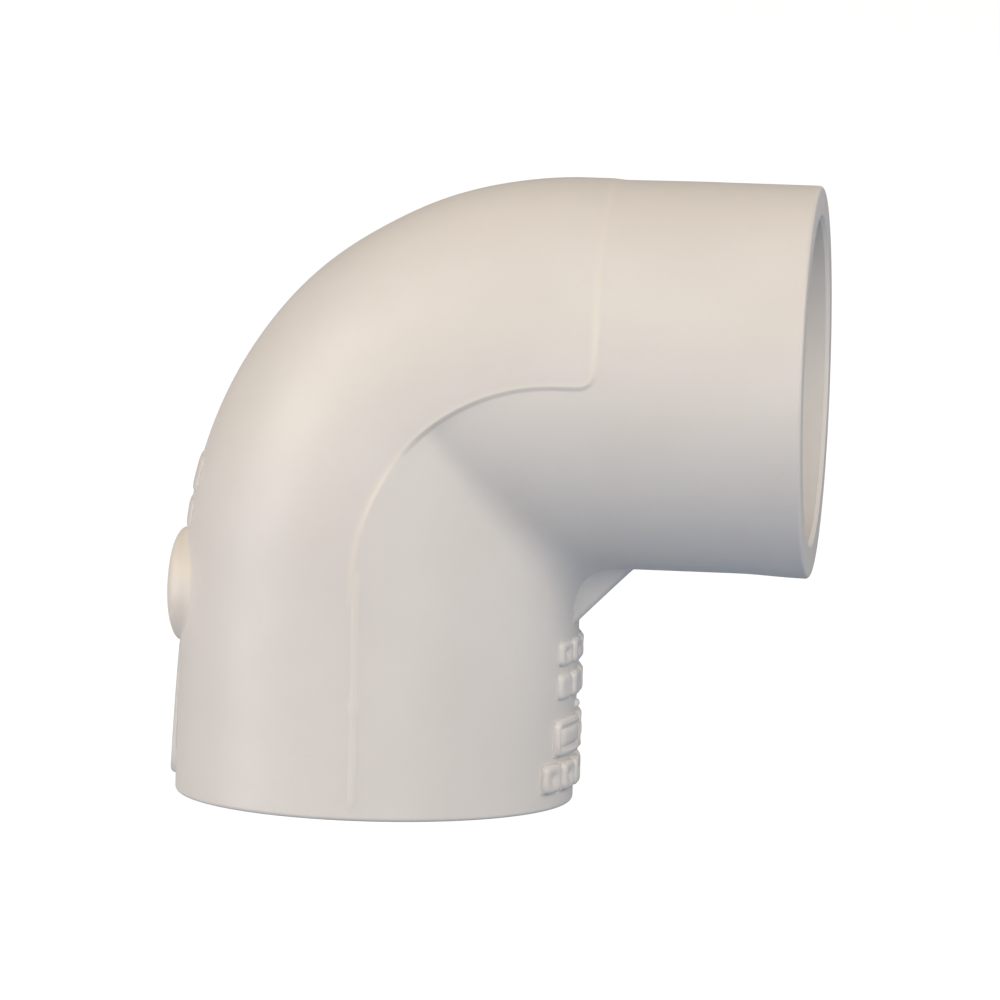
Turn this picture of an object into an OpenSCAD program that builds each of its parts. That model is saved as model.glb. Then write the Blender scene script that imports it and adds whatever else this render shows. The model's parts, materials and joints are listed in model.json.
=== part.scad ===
// PVC 90 degree elbow for pressure pipe, socket by socket, solvent cement joints.
// One injection moulding, drawn as the named regions and features that it is made of.
// Origin: centre of the bottom socket's mouth. +Z runs up that socket's axis, and the side
// socket's axis runs along +X at the height centre_to_end.

/* [Sockets] */
// From the crossing of the two socket axes to either mouth
centre_to_end = 45; // [42:0.5:50]
// Diameter of each socket, a slip fit on a pipe of 33.40 mm
socket_d = 33.65; // [33.3:0.05:34]
// Depth of each socket, from its mouth to the ledge that stops the pipe
socket_depth = 27.5; // [22.5:0.5:27.5]
// Lead-in chamfer inside each mouth
lead_in = 0.4; // [0.2:0.1:0.5]

/* [Hubs] */
// Outer radius of the bottom hub
bottom_hub_r = 20.9; // [20:0.05:22]
// Outer radius of the side hub
side_hub_r = 20.25; // [19.6:0.05:20.3]
// Bevel around the outer edge of the bottom mouth
bottom_rim = 1.0; // [0.3:0.1:2]
// Bevel around the outer edge of the side mouth
side_rim = 0.6; // [0.3:0.1:2]
// Length of each hub that stands clear of the bend
hub_len = 24; // [20:0.5:24]

/* [Bend] */
// Outer radius of the rounded heel half of the bend
heel_r = 20.4; // [20.35:0.05:20.8]
// Radius of the bend, to the middle of the heel half's section
bend_r = 20; // [19.5:0.1:20]
// Radius of the waterway
waterway_r = 13.1; // [12:0.1:13.5]
// Radius of the waterway's bend, to the middle of its section
waterway_bend_r = 11.9; // [10:0.1:12]
// Length of the raised band that carries the heel half on past the bend, along the side hub
band_len = 2.9; // [1:0.1:4]

/* [Throat web] */
// Length of the web along each hub, from the corner that the hubs make
web_leg = 5.4; // [3:0.1:8]
// Thickness of the web
web_t = 2.5; // [1.5:0.1:4]

/* [Gate pad] */
// Radius of the round pad that the plastic was let in through
gate_r = 5.8; // [4:0.1:7]
// How far the pad's flat face stands from the bottom hub's axis
gate_face = 21.7; // [21.3:0.1:23]
// Height of the pad's centre above the bottom mouth
gate_z = 21.2; // [18:0.1:22]
// Radius of the trimmed stub left on the pad
gate_stub_r = 1.7; // [1:0.1:3]
// Height of the trimmed stub
gate_stub_h = 0.35; // [0.2:0.05:1]

/* [Raised marks] */
// How far the blank marks stand out of the hub
mark_h = 0.55; // [0.2:0.05:1]
// Half width of the field of marks on the throat side
mark_half_w = 7.3; // [4:0.1:10]
// Half width of the bottom row there, which runs further round the hub
mark_wide_half_w = 10.1; // [6:0.1:12]
// Gap between two blocks of a row
mark_gap = 0.9; // [0.4:0.1:2]
// Half width of the two rows on the heel
heel_mark_half_w = 6.5; // [4:0.1:10]
// How far the rows on the heel stand out
heel_mark_h = 0.35; // [0.2:0.05:1]
// Half width of the blank plate under the gate pad
plate_half_w = 5; // [3:0.1:8]
// Thickness of the blank plate
plate_h = 0.45; // [0.2:0.05:1]

/* [Parting line] */
// Width of the fine ridge where the two mould halves meet
ridge_w = 0.5; // [0.3:0.1:1]
// Height of the ridge
ridge_h = 0.2; // [0.1:0.05:0.4]

/* [Hidden] */
$fn = 96;

bore_r = socket_d / 2;
// Height of the two ledges' shared corner, measured from the crossing of the axes
stop_g = centre_to_end - socket_depth;
// Where each hub ends and the bend begins, measured from the crossing of the axes
bend_reach = centre_to_end - hub_len;
// Rows of marks on the throat side: bottom, top, half width, number of blocks
throat_rows = [
    [14.8, 17.7, mark_half_w, 4],
    [10.9, 14.2, mark_half_w, 3],
    [5.2, 9.7, mark_half_w, 2],
    [1.4, 4.7, mark_wide_half_w, 6]
];
// Small round mark between the second and third rows
dot_r = 0.45;
dot_z = 10.3;
// Rows of marks on the heel, measured up from the bottom mouth: bottom, top
heel_rows = [[31.4, 35.2], [27.6, 31.0]];
heel_blocks = 3;
// Foot and top of the blank plate
plate_z = [1.9, 15.2];
// Plastic shades
ivory = [0.90, 0.87, 0.82];
ivory_shade = [0.86, 0.83, 0.78];
skin = 0.6;    // depth to which a surface feature is drawn before the hub is taken out of it
over = 1;      // how far a cutting tool runs past what it cuts

// Puts what is drawn along the bottom socket's axis onto the side socket's axis, mouth outward
module on_side_axis() {
    translate([centre_to_end, 0, centre_to_end])
        rotate([0, -90, 0])
            children();
}

// One socket hub standing on its mouth at the origin
module hub(outer_r, rim) {
    rotate_extrude()
        polygon([
            [bore_r + lead_in, 0],
            [outer_r - rim, 0],
            [outer_r, rim],
            [outer_r, hub_len],
            [bore_r, hub_len],
            [bore_r, lead_in]
        ]);
}

// Heel side of a bend: half of a round bar, swept a quarter turn about the throat
module heel_sweep(r, turn_r) {
    translate([turn_r, 0, centre_to_end - turn_r])
        rotate([90, 0, 0])
            rotate([0, 0, 90])
                rotate_extrude(angle = 90)
                    intersection() {
                        translate([turn_r, 0])
                            circle(r);
                        translate([turn_r, -r])
                            square([r, 2 * r]);
                    }
}

// Everything on the throat side of the bend's middle line, between the two hubs
module throat_side(turn_r, reach) {
    foot = centre_to_end - reach;
    rotate([90, 0, 0])
        linear_extrude(height = 4 * heel_r, center = true) {
            intersection() {
                translate([turn_r, centre_to_end - turn_r])
                    circle(turn_r);
                translate([0, centre_to_end - turn_r])
                    square(turn_r);
            }
            translate([0, foot])
                square([reach, reach - turn_r]);
            translate([turn_r, centre_to_end - turn_r])
                square([reach - turn_r, turn_r]);
        }
}

// Two crossed round bars, one up from the bottom and one out to the side
module crossed_bars(up_r, side_r, reach) {
    translate([0, 0, centre_to_end - reach])
        cylinder(h = reach, r = up_r);
    translate([0, 0, centre_to_end])
        rotate([0, 90, 0])
            cylinder(h = reach, r = side_r);
}

// The waterway between the two ledges, round at the heel and sharp at the throat
module waterway() {
    heel_sweep(waterway_r, waterway_bend_r);
    intersection() {
        crossed_bars(waterway_r, waterway_r, stop_g + over);
        throat_side(waterway_bend_r, stop_g + over);
    }
    straight = stop_g + over - waterway_bend_r;
    translate([0, 0, centre_to_end - stop_g - over])
        cylinder(h = straight, r = waterway_r);
    translate([waterway_bend_r, 0, centre_to_end])
        rotate([0, 90, 0])
            cylinder(h = straight, r = waterway_r);
}

// The two sockets, from inside the hubs to the ledges that stop the pipes
module socket_ends() {
    end_len = socket_depth - hub_len + over;
    translate([0, 0, hub_len - over])
        cylinder(h = end_len, r = bore_r);
    on_side_axis()
        translate([0, 0, hub_len - over])
            cylinder(h = end_len, r = bore_r);
}

module bottom_socket() {
    color(ivory)
        hub(bottom_hub_r, bottom_rim);
}

module side_socket() {
    color(ivory)
        on_side_axis()
            hub(side_hub_r, side_rim);
}

module heel_half() {
    straight = bend_reach - bend_r;
    color(ivory)
        difference() {
            union() {
                heel_sweep(heel_r, bend_r);
                // Straight end over the bottom hub
                intersection() {
                    translate([0, 0, hub_len])
                        cylinder(h = straight, r = bottom_hub_r);
                    translate([-2 * heel_r, -2 * heel_r, hub_len])
                        cube([2 * heel_r, 4 * heel_r, straight]);
                }
                // Straight end towards the side hub
                intersection() {
                    translate([bend_r, 0, centre_to_end])
                        rotate([0, 90, 0])
                            cylinder(h = straight, r = heel_r);
                    translate([bend_r, -2 * heel_r, centre_to_end])
                        cube([straight, 4 * heel_r, 2 * heel_r]);
                }
            }
            waterway();
            socket_ends();
        }
}

module throat_half() {
    color(ivory_shade)
        difference() {
            intersection() {
                crossed_bars(bottom_hub_r, side_hub_r, bend_reach);
                throat_side(bend_r, bend_reach);
            }
            waterway();
            socket_ends();
        }
}

module heel_band() {
    color(ivory)
        intersection() {
            translate([bend_reach, 0, centre_to_end])
                rotate([0, 90, 0])
                    difference() {
                        cylinder(h = band_len, r = heel_r);
                        translate([0, 0, -over])
                            cylinder(h = band_len + 2 * over, r = side_hub_r);
                    }
            translate([bend_reach, -2 * heel_r, centre_to_end])
                cube([band_len, 4 * heel_r, 2 * heel_r]);
        }
}

module throat_web() {
    corner_x = bottom_hub_r;
    corner_z = centre_to_end - side_hub_r;
    color(ivory_shade)
        difference() {
            translate([0, web_t / 2, 0])
                rotate([90, 0, 0])
                    linear_extrude(height = web_t)
                        polygon([
                            [corner_x - skin, corner_z + skin],
                            [corner_x - skin, corner_z - web_leg],
                            [corner_x, corner_z - web_leg],
                            [corner_x + web_leg, corner_z],
                            [corner_x + web_leg, corner_z + skin]
                        ]);
            cylinder(h = centre_to_end, r = bottom_hub_r);
            translate([0, 0, centre_to_end])
                rotate([0, 90, 0])
                    cylinder(h = centre_to_end, r = side_hub_r);
        }
}

module gate_pad() {
    color(ivory)
        difference() {
            translate([-gate_face, 0, gate_z])
                rotate([0, 90, 0])
                    cylinder(h = gate_face - bottom_hub_r + 2 * skin, r = gate_r);
            translate([0, 0, -over])
                cylinder(h = hub_len + bend_reach - bend_r + over, r = bottom_hub_r);
            heel_sweep(heel_r, bend_r);
        }
}

module gate_stub() {
    color(ivory_shade)
        translate([-gate_face - gate_stub_h, 0, gate_z])
            rotate([0, 90, 0])
                cylinder(h = gate_stub_h, r = gate_stub_r);
}

// Raised sleeve round the bottom hub, for the marks to be cut from
module hub_sleeve(height, foot, top) {
    difference() {
        translate([0, 0, foot])
            cylinder(h = top - foot, r = bottom_hub_r + height);
        translate([0, 0, foot - over])
            cylinder(h = top - foot + 2 * over, r = bottom_hub_r);
    }
}

// A row of equal blank blocks across the width, as windows to cut a sleeve with
module block_windows(half_w, blocks, depth, height) {
    pitch = (2 * half_w + mark_gap) / blocks;
    for (i = [0 : blocks - 1])
        translate([0, -half_w + i * pitch, 0])
            cube([depth, pitch - mark_gap, height]);
}

module throat_marks() {
    reach = bottom_hub_r + mark_h + over;
    color(ivory_shade)
        union() {
            for (row = throat_rows)
                intersection() {
                    hub_sleeve(mark_h, row[0], row[1]);
                    translate([0, 0, row[0] - over])
                        block_windows(row[2], row[3], reach, row[1] - row[0] + 2 * over);
                }
            intersection() {
                hub_sleeve(mark_h, dot_z - 2 * dot_r, dot_z + 2 * dot_r);
                translate([0, -dot_r, dot_z])
                    rotate([0, 90, 0])
                        cylinder(h = reach, r = dot_r);
            }
        }
}

module heel_marks() {
    reach = bend_r + heel_r;
    color(ivory)
        for (row = heel_rows)
            intersection() {
                difference() {
                    heel_sweep(heel_r + heel_mark_h, bend_r);
                    heel_sweep(heel_r, bend_r);
                }
                translate([-reach, 0, row[0]])
                    block_windows(heel_mark_half_w, heel_blocks, reach, row[1] - row[0]);
            }
}

module heel_plate() {
    color(ivory)
        intersection() {
            hub_sleeve(plate_h, plate_z[0], plate_z[1]);
            translate([-bottom_hub_r - over, -plate_half_w, 0])
                cube([bottom_hub_r, 2 * plate_half_w, hub_len]);
        }
}

module parting_ridge() {
    color(ivory)
        intersection() {
            hub_sleeve(ridge_h, bottom_rim, hub_len);
            translate([-ridge_w / 2, -2 * bottom_hub_r, 0])
                cube([ridge_w, 4 * bottom_hub_r, hub_len]);
        }
}

bottom_socket();
side_socket();
heel_half();
throat_half();
heel_band();
throat_web();
gate_pad();
gate_stub();
throat_marks();
heel_marks();
heel_plate();
parting_ridge();
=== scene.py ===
"""Looks of a moulded PVC elbow fitting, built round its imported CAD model.

The fitting stands on the mouth of its bottom socket, with the socket's axis along +Z. The side socket's
axis runs along +X. All lengths are in metres.
"""

import json
import logging
import math
from collections.abc import Callable
from dataclasses import dataclass, field
from enum import Enum

import bpy
import numpy as np
from mathutils import Matrix, Vector


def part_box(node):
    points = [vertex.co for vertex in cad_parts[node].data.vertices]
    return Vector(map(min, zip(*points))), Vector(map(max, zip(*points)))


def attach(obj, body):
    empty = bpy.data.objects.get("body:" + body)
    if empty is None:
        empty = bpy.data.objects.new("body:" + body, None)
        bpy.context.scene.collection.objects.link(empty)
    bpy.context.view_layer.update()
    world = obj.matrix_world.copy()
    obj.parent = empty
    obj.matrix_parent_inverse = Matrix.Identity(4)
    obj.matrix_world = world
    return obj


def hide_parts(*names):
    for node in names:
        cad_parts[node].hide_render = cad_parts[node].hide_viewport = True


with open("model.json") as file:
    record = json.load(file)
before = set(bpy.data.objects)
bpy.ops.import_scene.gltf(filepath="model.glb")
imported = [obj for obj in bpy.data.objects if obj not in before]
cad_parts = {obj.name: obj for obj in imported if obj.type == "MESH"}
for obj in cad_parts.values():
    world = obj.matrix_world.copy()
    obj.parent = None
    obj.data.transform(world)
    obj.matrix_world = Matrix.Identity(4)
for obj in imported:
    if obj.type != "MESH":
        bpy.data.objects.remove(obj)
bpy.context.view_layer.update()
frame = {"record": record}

LOG = logging.getLogger("elbow")
MM = 0.001
BODY = "root"
# Two vertices nearer than this are one
MERGE_GAP = 0.0002 * MM
# Angles under this are level with an axis
LEVEL = 1e-9
# The least area and the least length that anything is divided by
LEAST_AREA = 1e-12
LEAST_LENGTH = 1e-9
# How often a gap is halved in the search for a surface
HALVINGS = 44

Colour = tuple[float, float, float]


# ---------------------------------------------------------------------------------------------
# Sizes
# ---------------------------------------------------------------------------------------------


@dataclass(frozen=True)
class FittingSizes:
    """Driving sizes of the fitting, read from the CAD model and its record.

    Attributes:
        centre_to_end: from the crossing of the two axes to either mouth.
        bottom_r: outer radius of the bottom hub.
        side_r: outer radius of the side hub.
        bore_r: radius of both sockets.
        lead_in: width of the chamfer inside each mouth.
        depth: from a mouth to the ledge that stops the pipe.
        bend_r: radius of the bend to the middle of the heel half's section.
        heel_r: radius of the heel half's section.
        waterway_r: radius of the waterway.
        waterway_bend_r: radius of the waterway's bend.
        band_end: where the raised band on the side hub ends, along X.
    """

    centre_to_end: float
    bottom_r: float
    side_r: float
    bore_r: float
    lead_in: float = 0.4 * MM
    depth: float = 27.5 * MM
    bend_r: float = 20.0 * MM
    heel_r: float = 20.4 * MM
    waterway_r: float = 13.1 * MM
    waterway_bend_r: float = 11.9 * MM
    band_end: float = 23.7 * MM

    @classmethod
    def from_frame(cls) -> "FittingSizes":
        """Reads the sizes that the CAD nodes and the record's mounts hold.

        Returns:
            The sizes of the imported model.
        """
        mounts = {mount["name"]: mount for mount in frame["record"]["mounts"]}
        return cls(
            centre_to_end=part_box("side_socket")[1].x,
            bottom_r=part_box("bottom_socket")[1].y,
            side_r=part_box("side_socket")[1].y,
            bore_r=mounts["side_socket"]["dims"]["r_mm"] * MM,
            band_end=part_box("heel_band")[1].x,
        )


def smooth_step(value: np.ndarray | float) -> np.ndarray | float:
    """Eases from 0 to 1 as the value goes from 0 to 1.

    Args:
        value: a number or an array.

    Returns:
        The eased value, held at 0 and 1 outside that range.
    """
    held = np.clip(value, 0.0, 1.0)
    return held * held * (3.0 - 2.0 * held)


def bell(value: np.ndarray | float, middle: float, spread: float) -> np.ndarray | float:
    """Rises from 0 to 1 at the middle and falls back.

    Args:
        value: a number or an array.
        middle: where the bell is 1.
        spread: how far from the middle it has fallen to about a third.

    Returns:
        The bell's value.
    """
    return np.exp(-(((value - middle) / spread) ** 2))


def towards(azimuth: float, elevation: float) -> Vector:
    """Direction from the fitting towards a lamp or the camera.

    Args:
        azimuth: degrees to the right of the front.
        elevation: degrees above the horizon.

    Returns:
        The unit direction.
    """
    turn, rise = math.radians(azimuth), math.radians(elevation)
    level = math.cos(rise)
    return Vector((math.sin(turn) * level, -math.cos(turn) * level, math.sin(rise)))


@dataclass(frozen=True)
class HeelForm:
    """The outer surface of the heel side, from the bottom mouth round the bend to the band.

    Attributes:
        sizes: the fitting's driving sizes.
        draft_foot: height at which the draft starts.
        flat_depth: how far the crown is drawn in at the start of the bend.
        flat_angle: the bend's angle where it is drawn in the most.
        flat_spread: how far round the bend that reaches.
        sag_depth: how far the crown sags again, past the middle of the bend.
        sag_angle: the bend's angle where it sags the most.
        sag_spread: how far round the bend that reaches.
        end_depth: how far it is drawn in before the band.
        end_angle: the bend's angle where that is the most.
        end_spread: how far round the bend that reaches.
        settle: share of the bend over which the section's radius changes.
        draft_curve: how late the draft draws the hub in, as a power of the height.
    """

    sizes: FittingSizes
    draft_foot: float = 4.0 * MM
    flat_depth: float = 0.68 * MM
    flat_angle: float = math.radians(8.0)
    flat_spread: float = math.radians(26.0)
    sag_depth: float = 0.2 * MM
    sag_angle: float = math.radians(60.0)
    sag_spread: float = math.radians(9.0)
    end_depth: float = 0.2 * MM
    end_angle: float = math.radians(80.0)
    end_spread: float = math.radians(14.0)
    settle: float = 0.45
    draft_curve: float = 2.1

    def settled(self, share: np.ndarray | float) -> np.ndarray | float:
        """Radius of the section before its crown is drawn in: the bottom hub's, then the heel's own.

        Args:
            share: how much of the bend is done.

        Returns:
            The radius.
        """
        eased = smooth_step(share / self.settle)
        return self.sizes.bottom_r + (self.sizes.heel_r - self.sizes.bottom_r) * eased

    def section(self, around: np.ndarray | float, across: np.ndarray | float) -> np.ndarray:
        """Radius of the heel's section round the bend.

        Args:
            around: angle round the bend, from the bottom hub.
            across: angle round the section, from its crown.

        Returns:
            The radius.
        """
        radius = self.settled(np.asarray(around) / (math.pi / 2))
        drawn = self.flat_depth * bell(around, self.flat_angle, self.flat_spread)
        drawn = drawn + self.sag_depth * bell(around, self.sag_angle, self.sag_spread)
        drawn = drawn + self.end_depth * bell(around, self.end_angle, self.end_spread)
        return radius - drawn * np.cos(across) ** 2

    def upright(self, height: np.ndarray | float, across: np.ndarray | float) -> np.ndarray:
        """Radius of the heel side of the bottom hub, which its draft draws in towards the bend.

        Args:
            height: height above the mouth.
            across: angle round the hub, from the crown.

        Returns:
            The radius.
        """
        top = self.sizes.centre_to_end - self.sizes.bend_r
        share = np.clip((np.asarray(height) - self.draft_foot) / (top - self.draft_foot), 0.0, 1.0)
        drawn = self.flat_depth * bell(0.0, self.flat_angle, self.flat_spread) * share**self.draft_curve
        return self.sizes.bottom_r - drawn * np.cos(across) ** 2

    def place(self, across: np.ndarray, height: np.ndarray, out: np.ndarray) -> np.ndarray:
        """Puts flat work on the heel.

        Args:
            across: distance across the heel, from its crown.
            height: height above the mouth.
            out: distance out of the surface.

        Returns:
            Rows of x, y and z.
        """
        sizes = self.sizes
        centre_z = sizes.centre_to_end - sizes.bend_r
        angle = across / sizes.bottom_r
        rise = np.maximum(height - centre_z, 0.0)
        around = np.zeros(len(rise))
        for _ in range(4):
            section = self.section(around, angle)
            reach = sizes.bend_r + section * np.cos(angle)
            around = np.arcsin(np.clip(rise / reach, -1.0, 1.0))
        below = self.upright(height, angle) + out
        section = section + out
        reach = sizes.bend_r + section * np.cos(angle)
        bent = np.column_stack([
            sizes.bend_r - reach * np.cos(around),
            -section * np.sin(angle),
            centre_z + reach * np.sin(around),
        ])
        straight = np.column_stack([-below * np.cos(angle), -below * np.sin(angle), height])
        return np.where((height > centre_z)[:, None], bent, straight)


# ---------------------------------------------------------------------------------------------
# Hand tools
# ---------------------------------------------------------------------------------------------


class Bench:
    """The few moves that every piece is made with."""

    @staticmethod
    def clear() -> None:
        """Leaves edit mode and deselects everything."""
        if bpy.context.mode != "OBJECT":
            bpy.ops.object.mode_set(mode="OBJECT")
        bpy.ops.object.select_all(action="DESELECT")

    @staticmethod
    def take(piece: bpy.types.Object) -> None:
        """Makes one piece the only selected and active one.

        Args:
            piece: the piece to work on.
        """
        Bench.clear()
        piece.select_set(True)
        bpy.context.view_layer.objects.active = piece

    @staticmethod
    def added(name: str) -> bpy.types.Object:
        """Names the primitive that was just added.

        Args:
            name: the piece's name.

        Returns:
            The new piece.
        """
        piece = bpy.context.active_object
        piece.name = name
        piece.data.name = name
        return piece

    @staticmethod
    def place_in_mesh(piece: bpy.types.Object) -> None:
        """Moves a piece's place, turn and scale into its mesh."""
        Bench.take(piece)
        bpy.ops.object.transform_apply(location=True, rotation=True, scale=True)

    @staticmethod
    def reshape(piece: bpy.types.Object, rule: Callable[[np.ndarray], np.ndarray]) -> None:
        """Moves every vertex of a piece by a rule.

        Args:
            piece: the piece to shape.
            rule: takes the vertices as rows of x, y and z, and returns their new places.
        """
        count = len(piece.data.vertices)
        places = np.empty(count * 3)
        piece.data.vertices.foreach_get("co", places)
        places = rule(places.reshape(count, 3))
        piece.data.vertices.foreach_set("co", np.ascontiguousarray(places).ravel())
        piece.data.update()

    @staticmethod
    def select_faces(piece: bpy.types.Object, wanted: Callable[[Vector, Vector], bool]) -> None:
        """Enters edit mode with only the wanted faces selected.

        Args:
            piece: the piece to work on.
            wanted: says from a face's centre and normal whether it is wanted.
        """
        Bench.take(piece)
        bpy.ops.object.mode_set(mode="EDIT")
        bpy.ops.mesh.select_mode(type="FACE")
        bpy.ops.mesh.select_all(action="DESELECT")
        bpy.ops.object.mode_set(mode="OBJECT")
        for face in piece.data.polygons:
            face.select = wanted(face.center, face.normal)
        bpy.ops.object.mode_set(mode="EDIT")

    @staticmethod
    def cut_cube(name: str, cuts: int) -> bpy.types.Object:
        """Adds a unit cube and cuts its faces up, ready to be shaped.

        Args:
            name: the piece's name.
            cuts: how many cuts each edge gets.

        Returns:
            The cut cube.
        """
        Bench.clear()
        bpy.ops.mesh.primitive_cube_add(size=1.0)
        piece = Bench.added(name)
        bpy.ops.object.mode_set(mode="EDIT")
        bpy.ops.mesh.select_all(action="SELECT")
        bpy.ops.mesh.subdivide(number_cuts=cuts)
        bpy.ops.object.mode_set(mode="OBJECT")
        return piece

    @staticmethod
    def close_up(piece: bpy.types.Object, degrees: float, gap: float = MERGE_GAP) -> None:
        """Merges doubled vertices, turns every face outwards and shades the piece smooth.

        Args:
            piece: the piece to close.
            degrees: the angle past which an edge stays crisp.
            gap: the distance under which two vertices are one.
        """
        Bench.take(piece)
        bpy.ops.object.mode_set(mode="EDIT")
        bpy.ops.mesh.select_all(action="SELECT")
        bpy.ops.mesh.remove_doubles(threshold=gap)
        bpy.ops.mesh.normals_make_consistent(inside=False)
        bpy.ops.object.mode_set(mode="OBJECT")
        Bench.smooth(piece, degrees)

    @staticmethod
    def smooth(piece: bpy.types.Object, degrees: float) -> None:
        """Shades a piece smooth, with a crisp line at each edge sharper than an angle.

        Args:
            piece: the piece to shade.
            degrees: the angle past which an edge stays crisp.
        """
        Bench.take(piece)
        bpy.ops.object.shade_smooth_by_angle(angle=math.radians(degrees))

    @staticmethod
    def join(pieces: list[bpy.types.Object], name: str) -> bpy.types.Object:
        """Joins several pieces into one.

        Args:
            pieces: the pieces, of which the first is kept.
            name: the joined piece's name.

        Returns:
            The joined piece.
        """
        Bench.clear()
        for piece in pieces:
            piece.select_set(True)
        bpy.context.view_layer.objects.active = pieces[0]
        bpy.ops.object.join()
        return Bench.added(name)


# ---------------------------------------------------------------------------------------------
# Finishes
# ---------------------------------------------------------------------------------------------


@dataclass(frozen=True)
class PvcFinish:
    """Off-white rigid PVC as it comes out of the mould.

    Attributes:
        name: the material's name.
        tint: the plastic's colour.
        deep: the colour that faint clouds in it turn to.
        thin: the colour of the painted highlight along the edge of the raised heel side.
        speck: the colour of a speck of burnt compound.
        rough: the lowest and highest roughness over the surface.
        grain: the strength of the fine texture that the tool leaves.
        streaks: the strength of the faint lines round a hub.
        cloud_scale: how many clouds there are in a metre.
        mottle_scale: how many of the finer clouds over them.
        gloss_scale: how many patches of more or less gloss.
        speck_scale: how many cells, of which a few hold a speck.
        grain_scale: how many grains of the tool's texture.
        ring_scale: how many rings a metre of a hub has, and how slowly they change across it.
        index: the plastic's index of refraction.
    """

    name: str
    tint: Colour = (0.83, 0.80, 0.765)
    deep: Colour = (0.79, 0.755, 0.715)
    thin: Colour = (0.93, 0.875, 0.77)
    speck: Colour = (0.42, 0.33, 0.24)
    rough: tuple[float, float] = (0.36, 0.46)
    grain: float = 0.05
    streaks: float = 0.03
    cloud_scale: float = 70.0
    mottle_scale: float = 900.0
    gloss_scale: float = 260.0
    speck_scale: float = 130.0
    grain_scale: float = 2600.0
    ring_scale: tuple[float, float] = (1400.0, 30.0)
    index: float = 1.53

    def material(self) -> bpy.types.Material:
        """Builds the node material.

        Returns:
            The material, made once for each name.
        """
        made = bpy.data.materials.get(self.name)
        if made is None:
            made = bpy.data.materials.new(self.name)
            made.use_nodes = True
            self._wire(made.node_tree)
        return made

    def _noise(
        self,
        tree: bpy.types.NodeTree,
        place: bpy.types.NodeSocket,
        scale: float,
        detail: float,
    ) -> bpy.types.NodeSocket:
        """Adds a noise texture.

        Args:
            tree: the material's tree.
            place: where the texture is read.
            scale: how many features there are in a metre.
            detail: how many finer layers it has.

        Returns:
            The noise's value.
        """
        noise = tree.nodes.new("ShaderNodeTexNoise")
        noise.inputs["Scale"].default_value = scale
        noise.inputs["Detail"].default_value = detail
        tree.links.new(place, noise.inputs["Vector"])
        return noise.outputs["Fac"]

    def _spread(
        self,
        tree: bpy.types.NodeTree,
        value: bpy.types.NodeSocket,
        before: tuple[float, float],
        after: tuple[float, float],
    ) -> bpy.types.NodeSocket:
        """Maps a value from one range to another.

        Args:
            tree: the material's tree.
            value: the value to map.
            before: its range.
            after: the range that it takes.

        Returns:
            The mapped value.
        """
        remap = tree.nodes.new("ShaderNodeMapRange")
        remap.inputs["From Min"].default_value = before[0]
        remap.inputs["From Max"].default_value = before[1]
        remap.inputs["To Min"].default_value = after[0]
        remap.inputs["To Max"].default_value = after[1]
        tree.links.new(value, remap.inputs["Value"])
        return remap.outputs["Result"]

    def _tinted(
        self,
        tree: bpy.types.NodeTree,
        share: bpy.types.NodeSocket,
        first: bpy.types.NodeSocket | Colour,
        second: Colour,
    ) -> bpy.types.NodeSocket:
        """Mixes two colours by a share.

        Args:
            tree: the material's tree.
            share: how much of the second colour there is.
            first: the first colour, or the socket that it comes from.
            second: the second colour.

        Returns:
            The mixed colour.
        """
        mix = tree.nodes.new("ShaderNodeMix")
        mix.data_type = "RGBA"
        tree.links.new(share, mix.inputs["Factor"])
        if isinstance(first, tuple):
            mix.inputs["A"].default_value = (*first, 1.0)
        else:
            tree.links.new(first, mix.inputs["A"])
        mix.inputs["B"].default_value = (*second, 1.0)
        return mix.outputs["Result"]

    def _wire(self, tree: bpy.types.NodeTree) -> None:
        """Wires the plastic's colour, gloss and texture.

        Args:
            tree: the material's tree.
        """
        shader = tree.nodes["Principled BSDF"]
        place = tree.nodes.new("ShaderNodeTexCoord").outputs["Object"]

        # Faint clouds where the compound was mixed, and finer ones over them
        clouds = self._noise(tree, place, self.cloud_scale, 3.0)
        clouds = self._spread(tree, clouds, (0.35, 0.70), (0.0, 0.75))
        colour = self._tinted(tree, clouds, self.tint, self.deep)
        fine = self._noise(tree, place, self.mottle_scale, 2.0)
        fine = self._spread(tree, fine, (0.55, 0.80), (0.0, 0.25))
        colour = self._tinted(tree, fine, colour, self.deep)

        # A few specks of burnt compound, one to a cell of the pattern and most cells without
        cells = tree.nodes.new("ShaderNodeTexVoronoi")
        cells.inputs["Scale"].default_value = self.speck_scale
        tree.links.new(place, cells.inputs["Vector"])
        near = self._spread(tree, cells.outputs["Distance"], (0.022, 0.034), (1.0, 0.0))
        parts = tree.nodes.new("ShaderNodeSeparateColor")
        tree.links.new(cells.outputs["Color"], parts.inputs["Color"])
        rare = tree.nodes.new("ShaderNodeMath")
        rare.operation = "GREATER_THAN"
        rare.inputs[1].default_value = 0.955
        tree.links.new(parts.outputs["Red"], rare.inputs[0])
        speck = tree.nodes.new("ShaderNodeMath")
        speck.operation = "MULTIPLY"
        tree.links.new(near, speck.inputs[0])
        tree.links.new(rare.outputs["Value"], speck.inputs[1])
        colour = self._tinted(tree, speck.outputs["Value"], colour, self.speck)

        # Painted highlight: a lighter, warmer tint along the edge of the raised heel side, where its step
        # catches the light
        edge_highlight = tree.nodes.new("ShaderNodeAttribute")
        edge_highlight.attribute_name = "edge_highlight"
        thin = self._spread(tree, edge_highlight.outputs["Fac"], (0.0, 1.0), (0.0, 0.5))
        colour = self._tinted(tree, thin, colour, self.thin)
        tree.links.new(colour, shader.inputs["Base Color"])

        rough = self._noise(tree, place, self.gloss_scale, 4.0)
        rough = self._spread(tree, rough, (0.35, 0.70), self.rough)
        tree.links.new(rough, shader.inputs["Roughness"])

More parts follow.
